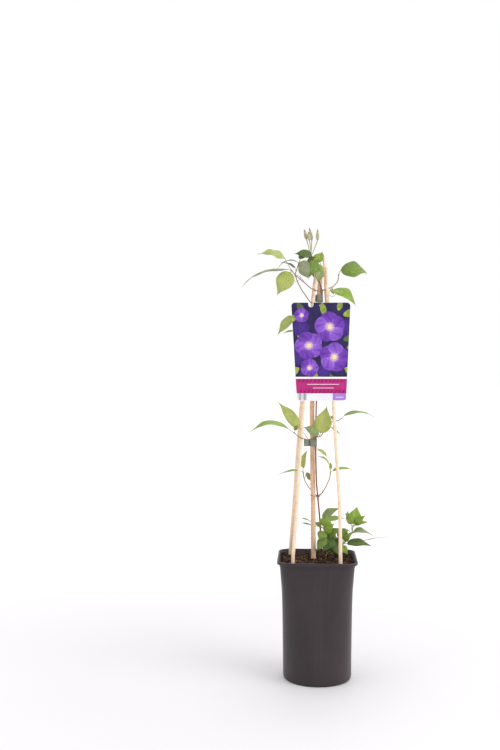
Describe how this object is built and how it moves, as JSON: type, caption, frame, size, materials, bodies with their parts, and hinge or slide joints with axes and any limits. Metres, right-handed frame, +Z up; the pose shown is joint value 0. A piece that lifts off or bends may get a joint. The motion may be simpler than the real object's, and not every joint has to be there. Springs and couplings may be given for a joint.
{
  "type": "potted climbing plant",
  "caption": "Young climbing plant in a square-rimmed nursery pot, tied up bamboo canes that lean together, with a hanging label, leaves and flower buds.",
  "frame": {"origin": "centre of the pot's flat base, on the ground", "axes": "+Z up along the canes, -Y towards the side the label faces, +X to its right"},
  "size_m": [0.257, 0.1352, 0.7751],
  "materials": {
    "pot": "black matte moulded plastic",
    "soil": "moist dark peat with bark",
    "cane": "dry bamboo cane",
    "label": "printed plastic card",
    "tie": "soft plastic tape",
    "stem": "woody red-brown stem",
    "leaf": "living leaf, satin above, dull below",
    "bud": "downy flower bud"
  },
  "bodies": {
    "root": {"cane_back_left": "cane", "cane_back_right": "cane", "cane_centre": "cane", "cane_front_left": "cane", "cane_front_right": "cane", "flower_bud_back": "bud", "flower_bud_front": "bud", "flower_bud_left": "bud", "flower_bud_right": "bud", "leaf_behind_label": "leaf", "leaf_below_tie": "leaf", "leaf_bush_broad": "leaf", "leaf_bush_high": "leaf", "leaf_bush_inner": "leaf", "leaf_bush_left": "leaf", "leaf_bush_low": "leaf", "leaf_bush_round": "leaf", "leaf_bush_small": "leaf", "leaf_crown_bright": "leaf", "leaf_crown_dark": "leaf", "leaf_crown_front": "leaf", "leaf_lower_inner": "leaf", "leaf_lower_left": "leaf", "leaf_lower_right": "leaf", "leaf_lower_upright": "leaf", "leaf_middle_arched": "leaf", "leaf_middle_broad": "leaf", "leaf_middle_outer": "leaf", "leaf_middle_right": "leaf", "leaf_middle_upper": "leaf", "leaf_right_large": "leaf", "leaf_right_lower": "leaf", "leaf_shoot_far": "leaf", "leaf_shoot_front": "leaf", "leaf_shoot_low": "leaf", "leaf_shoot_right": "leaf", "leaf_shoot_upright": "leaf", "leaf_top_back": "leaf", "leaf_top_dark": "leaf", "leaf_top_hanging": "leaf", "leaf_top_long": "leaf", "leaf_top_outer": "leaf", "leaf_top_woolly": "leaf", "main_stem": "stem", "plant_label": "label", "pot": "pot", "potting_soil": "soil", "side_shoot_left": "stem", "side_shoot_right": "stem", "stalk_behind_label": "stem", "stalk_lower_left": "stem", "stalk_lower_right": "stem", "stalk_middle_left": "stem", "stalk_middle_right": "stem", "stalk_top_inner": "stem", "stalk_top_left": "stem", "stalk_top_right": "stem", "tie_lower": "tie", "tie_upper": "tie"}
  },
  "joints": []
}
